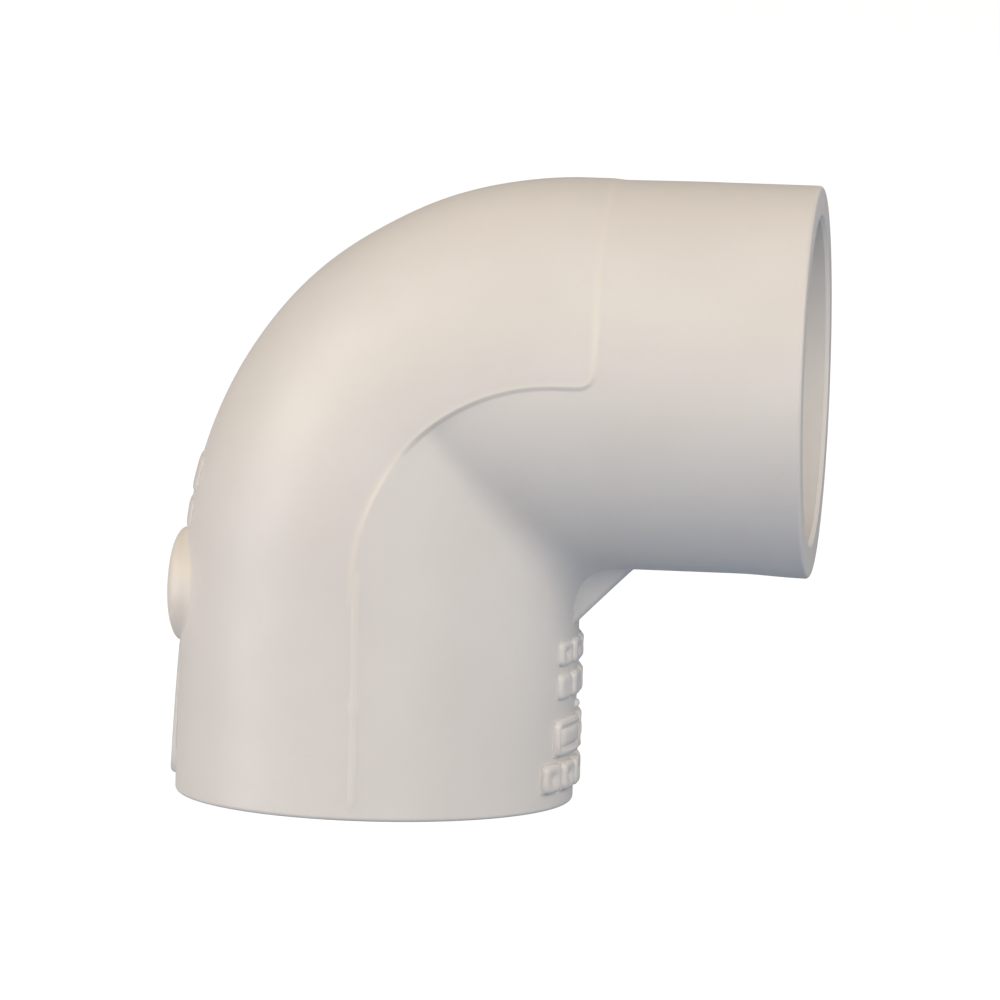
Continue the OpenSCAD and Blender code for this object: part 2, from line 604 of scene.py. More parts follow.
        # Faint rings left round the hubs by the tool, and the fine grain of its surface
        squeeze = tree.nodes.new("ShaderNodeMapping")
        along, across = self.ring_scale
        squeeze.inputs["Scale"].default_value = (across, across, along)
        tree.links.new(place, squeeze.inputs["Vector"])
        rings = tree.nodes.new("ShaderNodeBump")
        rings.inputs["Strength"].default_value = self.streaks
        rings.inputs["Distance"].default_value = 0.15 * MM
        tree.links.new(self._noise(tree, squeeze.outputs["Vector"], 1.0, 2.0), rings.inputs["Height"])
        grain = tree.nodes.new("ShaderNodeBump")
        grain.inputs["Strength"].default_value = self.grain
        grain.inputs["Distance"].default_value = 0.1 * MM
        tree.links.new(self._noise(tree, place, self.grain_scale, 3.0), grain.inputs["Height"])
        tree.links.new(rings.outputs["Normal"], grain.inputs["Normal"])
        tree.links.new(grain.outputs["Normal"], shader.inputs["Normal"])

        shader.inputs["IOR"].default_value = self.index
        shader.inputs["Subsurface Weight"].default_value = 0.08
        shader.inputs["Subsurface Radius"].default_value = (1.0, 0.8, 0.6)
        shader.inputs["Subsurface Scale"].default_value = 1.2 * MM


OUTER_SKIN = PvcFinish("pvc_satin")
CORE_SKIN = PvcFinish("pvc_core", rough=(0.40, 0.50), grain=0.02)
# Ridge finish: a lighter, warmer copy of the plastic, partly the thin flash's own colour and partly a
# painted highlight along the ridge
FLASH_TINT_AND_HIGHLIGHT_SKIN = PvcFinish("pvc_flash_and_painted_highlight", tint=(0.865, 0.825, 0.765), deep=(0.84, 0.795, 0.73), streaks=0.0)
# Painted warm light: the gate pad gets a lighter, warmer copy of the plastic, standing in for the warm
# light on its sides
PAD_PAINTED_WARM_LIGHT_SKIN = PvcFinish("pvc_pad_painted_warm_light", tint=(0.88, 0.825, 0.75), deep=(0.86, 0.79, 0.70))
MARK_SKIN = PvcFinish("pvc_marks", rough=(0.32, 0.42), grain=0.04, streaks=0.0)


# ---------------------------------------------------------------------------------------------
# Pieces
# ---------------------------------------------------------------------------------------------


class Piece:
    """A piece of the moulding that rides on the fitting's one body."""

    def dress(
        self, piece: bpy.types.Object, finishes: list[PvcFinish], nodes: list[str]
    ) -> bpy.types.Object:
        """Gives a piece its finishes, its body and the CAD nodes that it stands for.

        Args:
            piece: the finished mesh.
            finishes: one finish for each of its material slots.
            nodes: the CAD nodes that it replaces.

        Returns:
            The dressed piece.
        """
        piece.data.materials.clear()
        for finish in finishes:
            piece.data.materials.append(finish.material())
        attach(piece, BODY)
        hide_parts(*nodes)
        LOG.info("%s: %d faces, stands for %s", piece.name, len(piece.data.polygons), ", ".join(nodes))
        return piece


class Wall(Enum):
    """Which surface of the moulding a station belongs to."""

    ROUND = "round"
    OUTER = "outer"
    INNER = "inner"


@dataclass(frozen=True)
class Station:
    """One closed section round the moulding's wall.

    Attributes:
        wall: the surface that the section belongs to.
        x: its centre along the side socket's axis.
        z: its centre along the bottom socket's axis.
        heel: the angle of the direction towards the heel, up from -X.
        throat: the angle of the direction towards the throat, down from +X.
        radius: the radius of its heel half, or of all of it on a round wall.
    """

    wall: Wall
    x: float
    z: float
    heel: float
    throat: float
    radius: float


@dataclass
class MouldedWall(Piece):
    """The fitting's wall: two hubs, the bend, the sockets, the ledges and the waterway, in one closed skin.

    Attributes:
        sizes: the fitting's driving sizes.
        form: the heel's surface.
        bottom_round: rounding of the bottom mouth's outer edge.
        side_round: rounding of the side mouth's outer edge.
        ledge_round: rounding where a ledge turns into the waterway.
        crease_round: fillet in the crease where the hubs meet at the throat.
        water_crease: the same inside the waterway.
        seam_shift: how far the parting line lies towards the heel from the middle of the bend.
        step_w: width over which the step at the parting line falls.
        band_fall: width over which the raised band falls at the crown of the side hub.
        corner_r: radius of the band's corner, where its end meets the parting line.
        edge_lift: how much prouder the heel half is along its edge than at its crown.
        side_draw: how far the side hub's crown is drawn in where the band ends.
        lip_flare: how far the underside of the side mouth flares out.
        flare_depth: how far in from that mouth the flare starts.
        throat_draw: how far the throat side of the bottom mouth is drawn in.
        draw_top: height above which that side is drawn in no more.
        draw_run: height over which it is drawn in.
        lift_spread: how far in from its edge the heel half stands prouder.
        outer_clear: how far outside the throat's corner the outside's sections fan out from.
        water_clear: the same for the waterway's.
        highlight_foot: height above which the painted highlight along the raised side's edge begins.
    """

    sizes: FittingSizes
    form: HeelForm
    bottom_round: float = 0.4 * MM
    side_round: float = 0.4 * MM
    ledge_round: float = 0.3 * MM
    crease_round: float = 4.2 * MM
    water_crease: float = 0.8 * MM
    seam_shift: float = 0.3 * MM
    step_w: float = 0.6 * MM
    band_fall: float = 1.6 * MM
    corner_r: float = 1.8 * MM
    edge_lift: float = 0.12 * MM
    side_draw: float = 0.12 * MM
    lip_flare: float = 0.28 * MM
    flare_depth: float = 8.0 * MM
    throat_draw: float = 0.22 * MM
    draw_top: float = 18.0 * MM
    draw_run: float = 17.0 * MM
    lift_spread: float = 6.0 * MM
    outer_clear: float = 2.2 * MM
    water_clear: float = 0.8 * MM
    highlight_foot: float = 21.0 * MM

    def build(self) -> bpy.types.Object:
        """Rolls a flat grid up into the wall's closed skin.

        Returns:
            The finished wall.
        """
        stations = self._stations()
        turns = self._turns()
        made = [self._ring(station, turns) for station in stations]
        rings = np.array([points for points, _ in made])
        edges = np.array([edge for _, edge in made])
        rows, columns = len(stations) - 1, rings.shape[1] - 1

        Bench.clear()
        bpy.ops.mesh.primitive_grid_add(x_subdivisions=rows, y_subdivisions=columns, size=1.0)
        wall = Bench.added("moulded_wall")

        flat = np.array([vertex.co[:2] for vertex in wall.data.vertices]) + 0.5
        row = np.rint(flat[:, 0] * rows).astype(int)
        column = np.rint(flat[:, 1] * columns).astype(int)
        # Each vertex's share of the painted highlight along the raised side's edge
        edge_highlight = wall.data.attributes.new("edge_highlight", "FLOAT", "POINT")
        edge_highlight.data.foreach_set("value", edges[row, column].astype(np.float32))
        Bench.reshape(wall, lambda places: rings[row, column])
        self._mark_cores(wall, stations, rows)
        Bench.close_up(wall, 38.0, gap=5 * MERGE_GAP)
        marks = [face.material_index for face in wall.data.polygons]
        nodes = ["bottom_socket", "side_socket", "heel_half", "throat_half", "heel_band"]
        self.dress(wall, [OUTER_SKIN, CORE_SKIN], nodes)
        wall.data.polygons.foreach_set("material_index", marks)
        return wall

    def _mark_cores(self, wall: bpy.types.Object, stations: list[Station], rows: int) -> None:
        """Marks the faces that the polished cores shape, from the lead-ins inwards.

        Args:
            wall: the rolled grid, with its faces still in the grid's order.
            stations: the sections along it.
            rows: how many strips of faces it has.
        """
        inside = [station.radius <= self.sizes.bore_r + self.sizes.lead_in for station in stations]
        rounds = [station.wall is not Wall.OUTER for station in stations]
        core = [inside[i] and inside[i + 1] and rounds[i] and rounds[i + 1] for i in range(rows)]
        wall.data.materials.clear()
        for _ in range(2):
            wall.data.materials.append(None)
        for number, face in enumerate(wall.data.polygons):
            face.material_index = 1 if core[number % rows] else 0

    def _turns(self) -> np.ndarray:
        """Angles round a section from the throat to the heel, close together at the parting line.

        Returns:
            The angles, in radians.
        """
        close = np.concatenate([
            np.arange(-0.7, 0.71, 0.07),
            np.arange(0.95, 3.6, 0.3),
            np.arange(-3.0, -0.9, 0.5),
        ]) * MM
        near = math.pi / 2 + (np.sort(close) + self.seam_shift) / self.sizes.heel_r
        low = np.linspace(0.0, near[0], 32)[:-1]
        high = np.linspace(near[-1], math.pi, 34)[1:]
        return np.concatenate([low, near, high])

    def _stations(self) -> list[Station]:
        """Lists the sections: up the outside, round the side mouth, back through the inside.

        Returns:
            The sections, ending on the first one again.
        """
        outside = self._mouth(is_side=False)
        outside += self._outer_run()
        outside += list(reversed(self._mouth(is_side=True)))
        inside = self._socket(is_side=True)
        inside += self._water_run()
        inside += list(reversed(self._socket(is_side=False)))
        return outside + inside + outside[:1]

    def _at_mouth(self, is_side: bool, depth: float, radius: float, wall: Wall = Wall.ROUND) -> Station:
        """A section square to a socket's axis.

        Args:
            is_side: whether it is on the side socket's axis.
            depth: how far it is from the mouth.
            radius: its radius.
            wall: the surface that it belongs to.

        Returns:
            The section.
        """
        height = self.sizes.centre_to_end
        if is_side:
            return Station(wall, height - depth, height, math.pi / 2, math.pi / 2, radius)
        return Station(wall, 0.0, depth, 0.0, 0.0, radius)

    def _mouth(self, is_side: bool) -> list[Station]:
        """The flat rim of a mouth and the rounding of its outer edge, going outwards.

        Args:
            is_side: whether it is the side mouth.

        Returns:
            The sections.
        """
        outer = self.sizes.side_r if is_side else self.sizes.bottom_r
        turn = self.side_round if is_side else self.bottom_round
        arc = np.linspace(math.pi / 2, 0.0, 8)
        return [
            self._at_mouth(is_side, turn * (1 - math.sin(a)), outer - turn + turn * math.cos(a))
            for a in arc
        ]

    def _socket(self, is_side: bool) -> list[Station]:
        """The lead-in, the bore and the ledge of a socket, going inwards.

        Args:
            is_side: whether it is the side socket.

        Returns:
            The sections.
        """
        bore, lead, depth = self.sizes.bore_r, self.sizes.lead_in, self.sizes.depth
        water, turn = self.sizes.waterway_r, self.ledge_round
        run = [self._at_mouth(is_side, 0.0, bore + lead)]
        run += [self._at_mouth(is_side, at, bore) for at in np.linspace(lead, depth, 7)]
        run += [
            self._at_mouth(is_side, depth + turn * (1 - math.sin(a)), water + turn * (1 - math.cos(a)))
            for a in np.linspace(math.pi / 2, 0.0, 4)
        ]
        return run

    def _throat_point(self, up_r: float, side_r: float, clear: float) -> tuple[float, float]:
        """The point that the bend's sections fan out from, just outside the throat's corner.

        Args:
            up_r: radius of the upright surface.
            side_r: radius of the level surface.
            clear: how far outside the corner the point lies.

        Returns:
            Its place along X and along Z.
        """
        return up_r + clear, self.sizes.centre_to_end - side_r - clear

    def _run(
        self,
        wall: Wall,
        bend_r: float,
        point: tuple[float, float],
        uprights: np.ndarray,
        bends: np.ndarray,
        levels: np.ndarray,
        radius: Callable[[float], float],
    ) -> list[Station]:
        """Sections up a hub, round the bend and out along the other hub.

        Args:
            wall: the surface that they belong to.
            bend_r: radius of the bend.
            point: where the bend's sections fan out from.
            uprights: heights of the sections below the bend.
            bends: angles of the sections round the bend, from 0 to a right angle.
            levels: places along X of the sections beyond the bend.
            radius: gives the heel half's radius from the share of the bend that is done.

        Returns:
            The sections.
        """
        height = self.sizes.centre_to_end
        centre_x, centre_z = bend_r, height - bend_r

        def tilt(x: float, z: float) -> float:
            """Angle from a section's centre down to the fan's point."""
            return math.atan2(z - point[1], point[0] - x)

        start = tilt(0.0, centre_z)
        end = tilt(centre_x, height)
        run = []
        for z in uprights:
            share = float(smooth_step((z - uprights[0]) / (centre_z - uprights[0])))
            run.append(Station(wall, 0.0, z, 0.0, start * share, float(radius(0.0))))
        for angle in bends:
            x = centre_x - bend_r * math.cos(angle)
            z = centre_z + bend_r * math.sin(angle)
            done = angle / (math.pi / 2)
            run.append(Station(wall, x, z, angle, tilt(x, z), float(radius(done))))
        for x in levels:
            share = float(smooth_step((x - centre_x) / (levels[-1] - centre_x)))
            throat = end + (math.pi / 2 - end) * share
            run.append(Station(wall, x, height, math.pi / 2, throat, float(radius(1.0))))
        return run

    def _outer_run(self) -> list[Station]:
        """Sections of the outside from one mouth's rounding to the other's.

        Returns:
            The sections.
        """
        sizes = self.sizes
        height, bend_r = sizes.centre_to_end, sizes.bend_r
        foot = height - bend_r
        uprights = np.concatenate([
            [self.bottom_round * 1.5],
            np.linspace(4 * MM, foot - 1 * MM, 18),
        ])
        bends = np.linspace(0.0, math.pi / 2, 64)
        band = sizes.band_end
        levels = np.concatenate([
            np.linspace(bend_r + 0.4 * MM, band - 2.4 * MM, 4),
            np.arange(band - 2.2 * MM, band + 2.0 * MM, 0.14 * MM),
            np.linspace(band + 2.3 * MM, height - self.side_round * 1.5, 12),
        ])
        point = self._throat_point(sizes.bottom_r, sizes.side_r, self.outer_clear)
        return self._run(Wall.OUTER, bend_r, point, uprights, bends, levels, self.form.settled)

    def _water_run(self) -> list[Station]:
        """Sections of the waterway from the side ledge back to the bottom one.

        Returns:
            The sections.
        """
        sizes = self.sizes
        height, bend_r, radius = sizes.centre_to_end, sizes.waterway_bend_r, sizes.waterway_r
        ledge = height - sizes.depth
        uprights = np.linspace(height - ledge + 0.4 * MM, height - bend_r - 0.6 * MM, 6)
        levels = np.linspace(bend_r + 0.6 * MM, ledge - 0.4 * MM, 6)
        bends = np.linspace(0.0, math.pi / 2, 36)
        point = self._throat_point(radius, radius, self.water_clear)
        run = self._run(Wall.INNER, bend_r, point, uprights, bends, levels, lambda share: radius)
        return list(reversed(run))

    def _ring(self, station: Station, turns: np.ndarray) -> tuple[np.ndarray, np.ndarray]:
        """The closed line of points round one section.

        Args:
            station: the section.
            turns: angles from the throat to the heel.

        Returns:
            Points as rows of x, y and z, down the front and back up the far side, and how
            close each is to the raised side's edge, which sets its painted highlight.
        """
        to_heel = np.array([-math.cos(station.heel), 0.0, math.sin(station.heel)])
        to_throat = np.array([math.cos(station.throat), 0.0, -math.sin(station.throat)])
        centre = np.array([station.x, 0.0, station.z])
        cosines = np.cos(turns)[:, None]
        flat = np.where(cosines >= 0.0, cosines * to_throat, -cosines * to_heel)
        ways = flat + np.sin(turns)[:, None] * np.array([0.0, -1.0, 0.0])
        if station.wall is Wall.ROUND:
            reach = self._round_reach(station, turns)
            edge = np.zeros(len(turns))
        else:
            reach, edge = self._reach(station, turns, centre, ways)
        front = centre + ways * reach[:, None]
        back = front[::-1][1:] * np.array([1.0, -1.0, 1.0])
        return np.concatenate([front, back]), np.concatenate([edge, edge[::-1][1:]])

    def _round_reach(self, station: Station, turns: np.ndarray) -> np.ndarray:
        """Reach of a section at a mouth, with the draft that the hub ends on.

        Args:
            station: the section.
            turns: angles from the throat to the heel.

        Returns:
            The distances.
        """
        reach = np.full(len(turns), station.radius)
        if station.radius > self.sizes.bore_r + 1.5 * MM:
            reach = reach + self._drawn(station, turns)
        return reach

    def _drawn(self, station: Station, turns: np.ndarray) -> np.ndarray:
        """How far the mould's draft moves the hubs' surfaces out or in.

        Args:
            station: the section.
            turns: angles from the throat to the heel.

        Returns:
            The distances, above 0 outwards.
        """
        cosines = np.cos(turns)
        throat = np.maximum(cosines, 0.0) ** 2
        heel = np.maximum(-cosines, 0.0) ** 2
        if station.heel < LEVEL:
            share = float(smooth_step((self.draw_top - station.z) / self.draw_run))
            return -self.throat_draw * share * throat
        from_mouth = self.sizes.centre_to_end - station.x
        flare = self.lip_flare * float(smooth_step(1 - from_mouth / self.flare_depth))
        past = station.x - self.sizes.bend_r
        sunk = self.side_draw * float(smooth_step(past / (2 * MM)) * smooth_step(1 - past / (14 * MM)))
        return flare * throat - sunk * heel

    def _reach(
        self, station: Station, turns: np.ndarray, centre: np.ndarray, ways: np.ndarray
    ) -> tuple[np.ndarray, np.ndarray]:
        """Distance from a section's centre to the surface in each direction.

        Args:
            station: the section.
            turns: angles from the throat to the heel.
            centre: the section's centre.
            ways: a unit direction for each angle.

        Returns:
            The distances, and how close each point is to the raised side's edge, which sets its painted
            highlight.
        """
        hubs = self._hub_reach(station.wall, centre, ways)
        seam = (turns - math.pi / 2) * self.sizes.heel_r - self.seam_shift
        if station.wall is Wall.INNER:
            share = smooth_step(seam / (3 * MM) + 0.5)
            return hubs + (station.radius - hubs) * share, np.zeros(len(turns))
        across = math.pi - turns
        in_bend = LEVEL < station.heel < math.pi / 2 - LEVEL
        if station.heel < LEVEL:
            crown = self.form.upright(station.z, across)
        else:
            crown = self.form.section(station.heel, across)
        if not in_bend:
            hubs = hubs + self._drawn(station, turns)
        risen = float(smooth_step(station.heel / (math.pi / 4)))
        lift = crown + risen * self.edge_lift * bell(seam, 0.0, self.lift_spread)
        past = station.x - self.sizes.band_end if station.heel > math.pi / 2 - LEVEL else -1.0
        distance, width = self._from_edge(seam, past)
        share = smooth_step(0.5 - distance / width)
        # Painted highlight along the rim of the raised heel side: it starts above a height and fades where
        # the step falls wide
        begun = float(smooth_step((station.z - self.highlight_foot) / (3 * MM)))
        faded = np.clip(1.35 - 0.5 * width / (1 * MM), 0.0, 1.0)
        edge = begun * faded * bell(distance, -0.4 * self.step_w, 0.35 * MM)
        return hubs + (lift - hubs) * share, edge

    def _from_edge(self, seam: np.ndarray, past: float) -> tuple[np.ndarray, np.ndarray]:
        """Distance from the edge of the raised heel side, and the width over which it falls.

        Args:
            seam: distance from the parting line, above 0 on the heel side.
            past: distance past the band's end, under 0 before it.

        Returns:
            The distances, above 0 outside the raised side, and the widths.
        """
        corner = self.corner_r
        over_seam = np.maximum(corner - seam, -1.0)
        over_end = np.full(len(seam), corner + past)
        outside = np.hypot(np.maximum(over_seam, 0.0), np.maximum(over_end, 0.0))
        inside = np.minimum(np.maximum(over_seam, over_end), 0.0)
        distance = outside + inside - corner
        crown = smooth_step(seam / (0.7 * math.pi / 2 * self.sizes.heel_r))
        width = self.step_w + (self.band_fall - self.step_w) * crown
        return distance, width

    def _hub_reach(self, wall: Wall, centre: np.ndarray, ways: np.ndarray) -> np.ndarray:
        """Distance to the two crossed round bars, found by halving.

        Args:
            wall: the outside or the waterway.
            centre: where the lines start, inside the bars.
            ways: a unit direction for each line.

        Returns:
            The distances.
        """
        low = np.zeros(len(ways))
        high = np.full(len(ways), 2.0 * self.sizes.centre_to_end)
        for _ in range(HALVINGS):
            middle = (low + high) / 2
            points = centre + ways * middle[:, None]
            out = self.outside(points, wall) > 0.0
            high = np.where(out, middle, high)
            low = np.where(out, low, middle)
        return (low + high) / 2

    def outside(self, points: np.ndarray, wall: Wall) -> np.ndarray:
        """Distance outside two crossed round bars whose crease is filleted.

        Args:
            points: rows of x, y and z.
            wall: the outside or the waterway.

        Returns:
            The distances, under 0 inside.
        """
        sizes = self.sizes
        if wall is Wall.OUTER:
            up_r, side_r, fillet = sizes.bottom_r, sizes.side_r, self.crease_round
        else:
            up_r, side_r, fillet = sizes.waterway_r, sizes.waterway_r, self.water_crease
        x, y = points[:, 0], points[:, 1]
        z = points[:, 2] - self.sizes.centre_to_end
        from_up, from_side = np.hypot(x, y), np.hypot(z, y)
        upright = np.where(z > 0.0, 1.0, from_up - up_r)
        level = np.where(x < 0.0, 1.0, from_side - side_r)
        facing = y * y / np.maximum(from_up * from_side, LEAST_AREA)
        blend = 4 * fillet * (1 - np.sqrt((1 + np.clip(facing, 0.0, 1.0)) / 2)) + LEAST_LENGTH
        near = np.maximum(blend - np.abs(upright - level), 0.0) / blend
        return np.minimum(upright, level) - near * near * blend / 4


@dataclass
class ThroatWeb(Piece):
    """The small web that stiffens the corner under the side hub.

    Attributes:
        sizes: the fitting's driving sizes.
        wall: the wall that it grows out of.
        fillet: fillet on each side of its root.
        sink: how far its root reaches into the wall.
        edge_round: rounding of its free edge.
        reach_on: how much further than the model's its free edge reaches.
        root_fan: how far its root is spread out along the corner.
        cuts: how many cuts each edge of its block gets.
    """

    sizes: FittingSizes
    wall: MouldedWall
    fillet: float = 2.4 * MM
    sink: float = 1.2 * MM
    edge_round: float = 0.5 * MM
    reach_on: float = 0.3 * MM
    root_fan: float = 0.4 * MM
    cuts: int = 27

    def build(self) -> bpy.types.Object:
        """Cuts the web from a block and flares its root into the wall.

        Returns:
            The finished web.
        """
        low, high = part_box("throat_web")
        corner_x, corner_z = self.sizes.bottom_r, self.sizes.centre_to_end - self.sizes.side_r
        leg = high.x - corner_x + self.reach_on
        half = (high.y - low.y) / 2
        web = Bench.cut_cube("throat_web", self.cuts)

        def cut_to_corner(block: np.ndarray) -> np.ndarray:
            """Fans the block out from the corner to the free edge, and widens it to its root.

            Args:
                block: the cut cube's vertices.

            Returns:
                Their new places.
            """
            out, along = block[:, 0] + 0.5, block[:, 2] + 0.5
            root_x = corner_x - self.sink + (along - 0.5) * self.root_fan
            root_z = corner_z + self.sink + (along - 0.5) * self.root_fan
            free_x = corner_x - self.sink + along * (leg + 2 * self.sink)
            free_z = corner_z - leg - self.sink + along * (leg + 2 * self.sink)
            x = root_x + (free_x - root_x) * out
            z = root_z + (free_z - root_z) * out
            width = np.full(len(x), half)
            for _ in range(6):
                points = np.column_stack([x, width, z])
                off = self.wall.outside(points, Wall.OUTER)
                inner = np.clip(self.fillet - np.maximum(off, 0.0), 0.0, self.fillet)
                width = half + self.fillet - np.sqrt(self.fillet**2 - inner**2)
            from_edge = np.clip((leg - (x - corner_x) - (corner_z - z)) / math.sqrt(2), 0.0, None)
            inner = np.clip(self.edge_round - from_edge, 0.0, self.edge_round)
            width = width - self.edge_round + np.sqrt(self.edge_round**2 - inner**2)
            return np.column_stack([x, 2 * block[:, 1] * width, z])

        Bench.reshape(web, cut_to_corner)
        Bench.close_up(web, 50.0)
        return self.dress(web, [OUTER_SKIN], ["throat_web"])


@dataclass
class GatePad(Piece):
    """The rounded pad where the plastic was let in, with the trimmed stub of the gate.

    Attributes:
        sizes: the fitting's driving sizes.
        form: the heel's surface.
        face_share: radius of the pad's flat face, as a share of its foot's.
        fillet: how softly the pad's foot runs into the heel.
        oval: how much wider the pad is than it is tall.
        dish: how deep the ring round the stub is pressed in.
        ring: that ring's radius, as a share of the face's, and half its width.
        shoulder: how far the pad's shoulder falls from its face.
        skirt: how far past the pad the disc reaches under the heel's skin.
        fade: width over which the disc's rim sinks under it.
        root: how far under the skin its back lies.
        raised: how much higher than the model's it sits.
        rings: how many rings of faces it is drawn with.
    """

    sizes: FittingSizes
    form: HeelForm
    face_share: float = 0.5
    fillet: float = 1.3 * MM
    oval: float = 1.4
    dish: float = 0.12 * MM
    ring: tuple[float, float] = (0.62, 0.7 * MM)
    shoulder: float = 1.25 * MM
    skirt: float = 2.2 * MM
    fade: float = 0.8 * MM
    root: float = 1.2 * MM
    raised: float = 0.2 * MM
    rings: int = 32

    def build(self) -> list[bpy.types.Object]:
        """Builds the pad and the stub.

        Returns:
            The two pieces.
        """
        return [self._pad(), self._stub()]

    def _pad(self) -> bpy.types.Object:
        """Draws the pad up from a disc: a flat face, a rounded shoulder and a filleted foot.

        Returns:
            The finished pad.
        """
        low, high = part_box("gate_pad")
        radius = (high.y - low.y) / 2
        middle_z, face = (low.z + high.z) / 2 + self.raised, -low.x
        Bench.clear()
        bpy.ops.mesh.primitive_circle_add(vertices=128, radius=1.0, fill_type="NGON")
        pad = Bench.added("gate_pad")
        bpy.ops.object.mode_set(mode="EDIT")
        bpy.ops.mesh.select_all(action="SELECT")
        for _ in range(self.rings - 1):
            bpy.ops.mesh.inset(thickness=1.0 / self.rings)
        bpy.ops.mesh.select_all(action="SELECT")
        bpy.ops.mesh.extrude_region_move(TRANSFORM_OT_translate={"value": (0.0, 0.0, -1.0)})
        bpy.ops.object.mode_set(mode="OBJECT")
        outer = radius + self.skirt
        ring_share, ring_w = self.ring

        def draw_up(disc: np.ndarray) -> np.ndarray:
            """Lifts the disc's middle to the pad's face and leaves its rim under the heel's skin.

            Args:
                disc: the disc's vertices, its lower layer at -1.

            Returns:
                Their new places.
            """
            y, up = disc[:, 0] * outer * self.oval, disc[:, 1] * outer
            away = np.hypot(disc[:, 0], disc[:, 1]) * outer
            skin = self.form.place(-y, middle_z + up, np.zeros(len(y)))
            heel = -skin[:, 0]
            flat = radius * self.face_share
            over = np.clip((away - flat) / (radius - flat), 0.0, None)
            shoulder = self.shoulder * (1 - np.sqrt(np.clip(1 - over**2, 0.0, 1.0)))
            steep = np.maximum(away - radius, 0.0) * 4.0
            top = face - shoulder - steep + self.dish * 0.5 * (1 - bell(away, 0.0, flat))
            top = np.minimum(top, face) - self.dish * bell(away, flat * ring_share, ring_w)
            gap = np.maximum(self.fillet - np.abs(top - heel), 0.0) / self.fillet
            out = np.maximum(top, heel - 0.03 * MM) + gap * gap * self.fillet / 4
            fade = smooth_step((outer - away) / self.fade)
            out = (heel - 0.15 * MM) + (out - heel + 0.15 * MM) * fade
            depth = np.where(disc[:, 2] < -0.5, heel - self.root, out)
            return np.column_stack([-depth, skin[:, 1], skin[:, 2]])

        Bench.reshape(pad, draw_up)
        Bench.close_up(pad, 40.0)
        # The pad's finish is the lighter, warmer copy that paints warm light on it
        return self.dress(pad, [PAD_PAINTED_WARM_LIGHT_SKIN], ["gate_pad"])

    def _stub(self) -> bpy.types.Object:
        """Breaks the stub off a little unevenly, as cutters leave it.

        Returns:
            The finished stub.
        """
        low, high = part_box("gate_stub")
        radius = (high.y - low.y) / 2
        depth = high.x - low.x + self.dish + 0.3 * MM
        middle = Vector((low.x + depth / 2, 0.0, (low.z + high.z) / 2))
        Bench.clear()
        bpy.ops.mesh.primitive_cylinder_add(
            vertices=48, radius=radius, depth=depth, location=middle, rotation=(0.0, math.pi / 2, 0.0)
        )
        stub = Bench.added("gate_stub")
        Bench.place_in_mesh(stub)
        Bench.select_faces(stub, lambda centre, normal: normal.x < -0.9)
        bpy.ops.mesh.inset(thickness=radius * 0.18)
        for share in (0.35, 0.4):
            bpy.ops.mesh.inset(thickness=radius * share)
        bpy.ops.object.mode_set(mode="OBJECT")

        def tear(places: np.ndarray) -> np.ndarray:
            """Leaves the cut face slanted and lightly rippled.

            Args:
                places: the stub's vertices.

            Returns:
                Their new places.
            """
            cut = np.clip((middle.x - places[:, 0]) / (depth / 2), 0.0, 1.0)
            y, z = places[:, 1] / radius, (places[:, 2] - middle.z) / radius
            ripple = 0.06 * y + 0.04 * np.sin(3.1 * z + 0.6) * np.cos(2.3 * y)
            moved = places.copy()
            moved[:, 0] += cut * (ripple + 0.08) * MM
            return moved

        Bench.reshape(stub, tear)
        Bench.smooth(stub, 35.0)
        return self.dress(stub, [MARK_SKIN], ["gate_stub"])


class Top(Enum):
    """How the top of a raised block is shaped."""

    PLAIN = "plain"
    DIMPLED = "dimpled"
    FRAMED = "framed"


@dataclass(frozen=True)
class Block:
    """A blank raised block, given flat before it is laid on the hub.

    Attributes:
        low: its lower left corner, across and up.
        high: its upper right corner.
        height: how far it stands out.
        top: the shape of its top.
    """

    low: tuple[float, float]
    high: tuple[float, float]
    height: float
    top: Top = Top.PLAIN


@dataclass(frozen=True)
class Row:
    """A row of equal blocks.

    Attributes:
        foot: height of its lower edge above the mouth.
        head: height of its upper edge.
        half: half its width.
        count: number of blocks.
        top: the shape of their tops.
    """

    foot: float
    head: float
    half: float
    count: int
    top: Top = Top.PLAIN


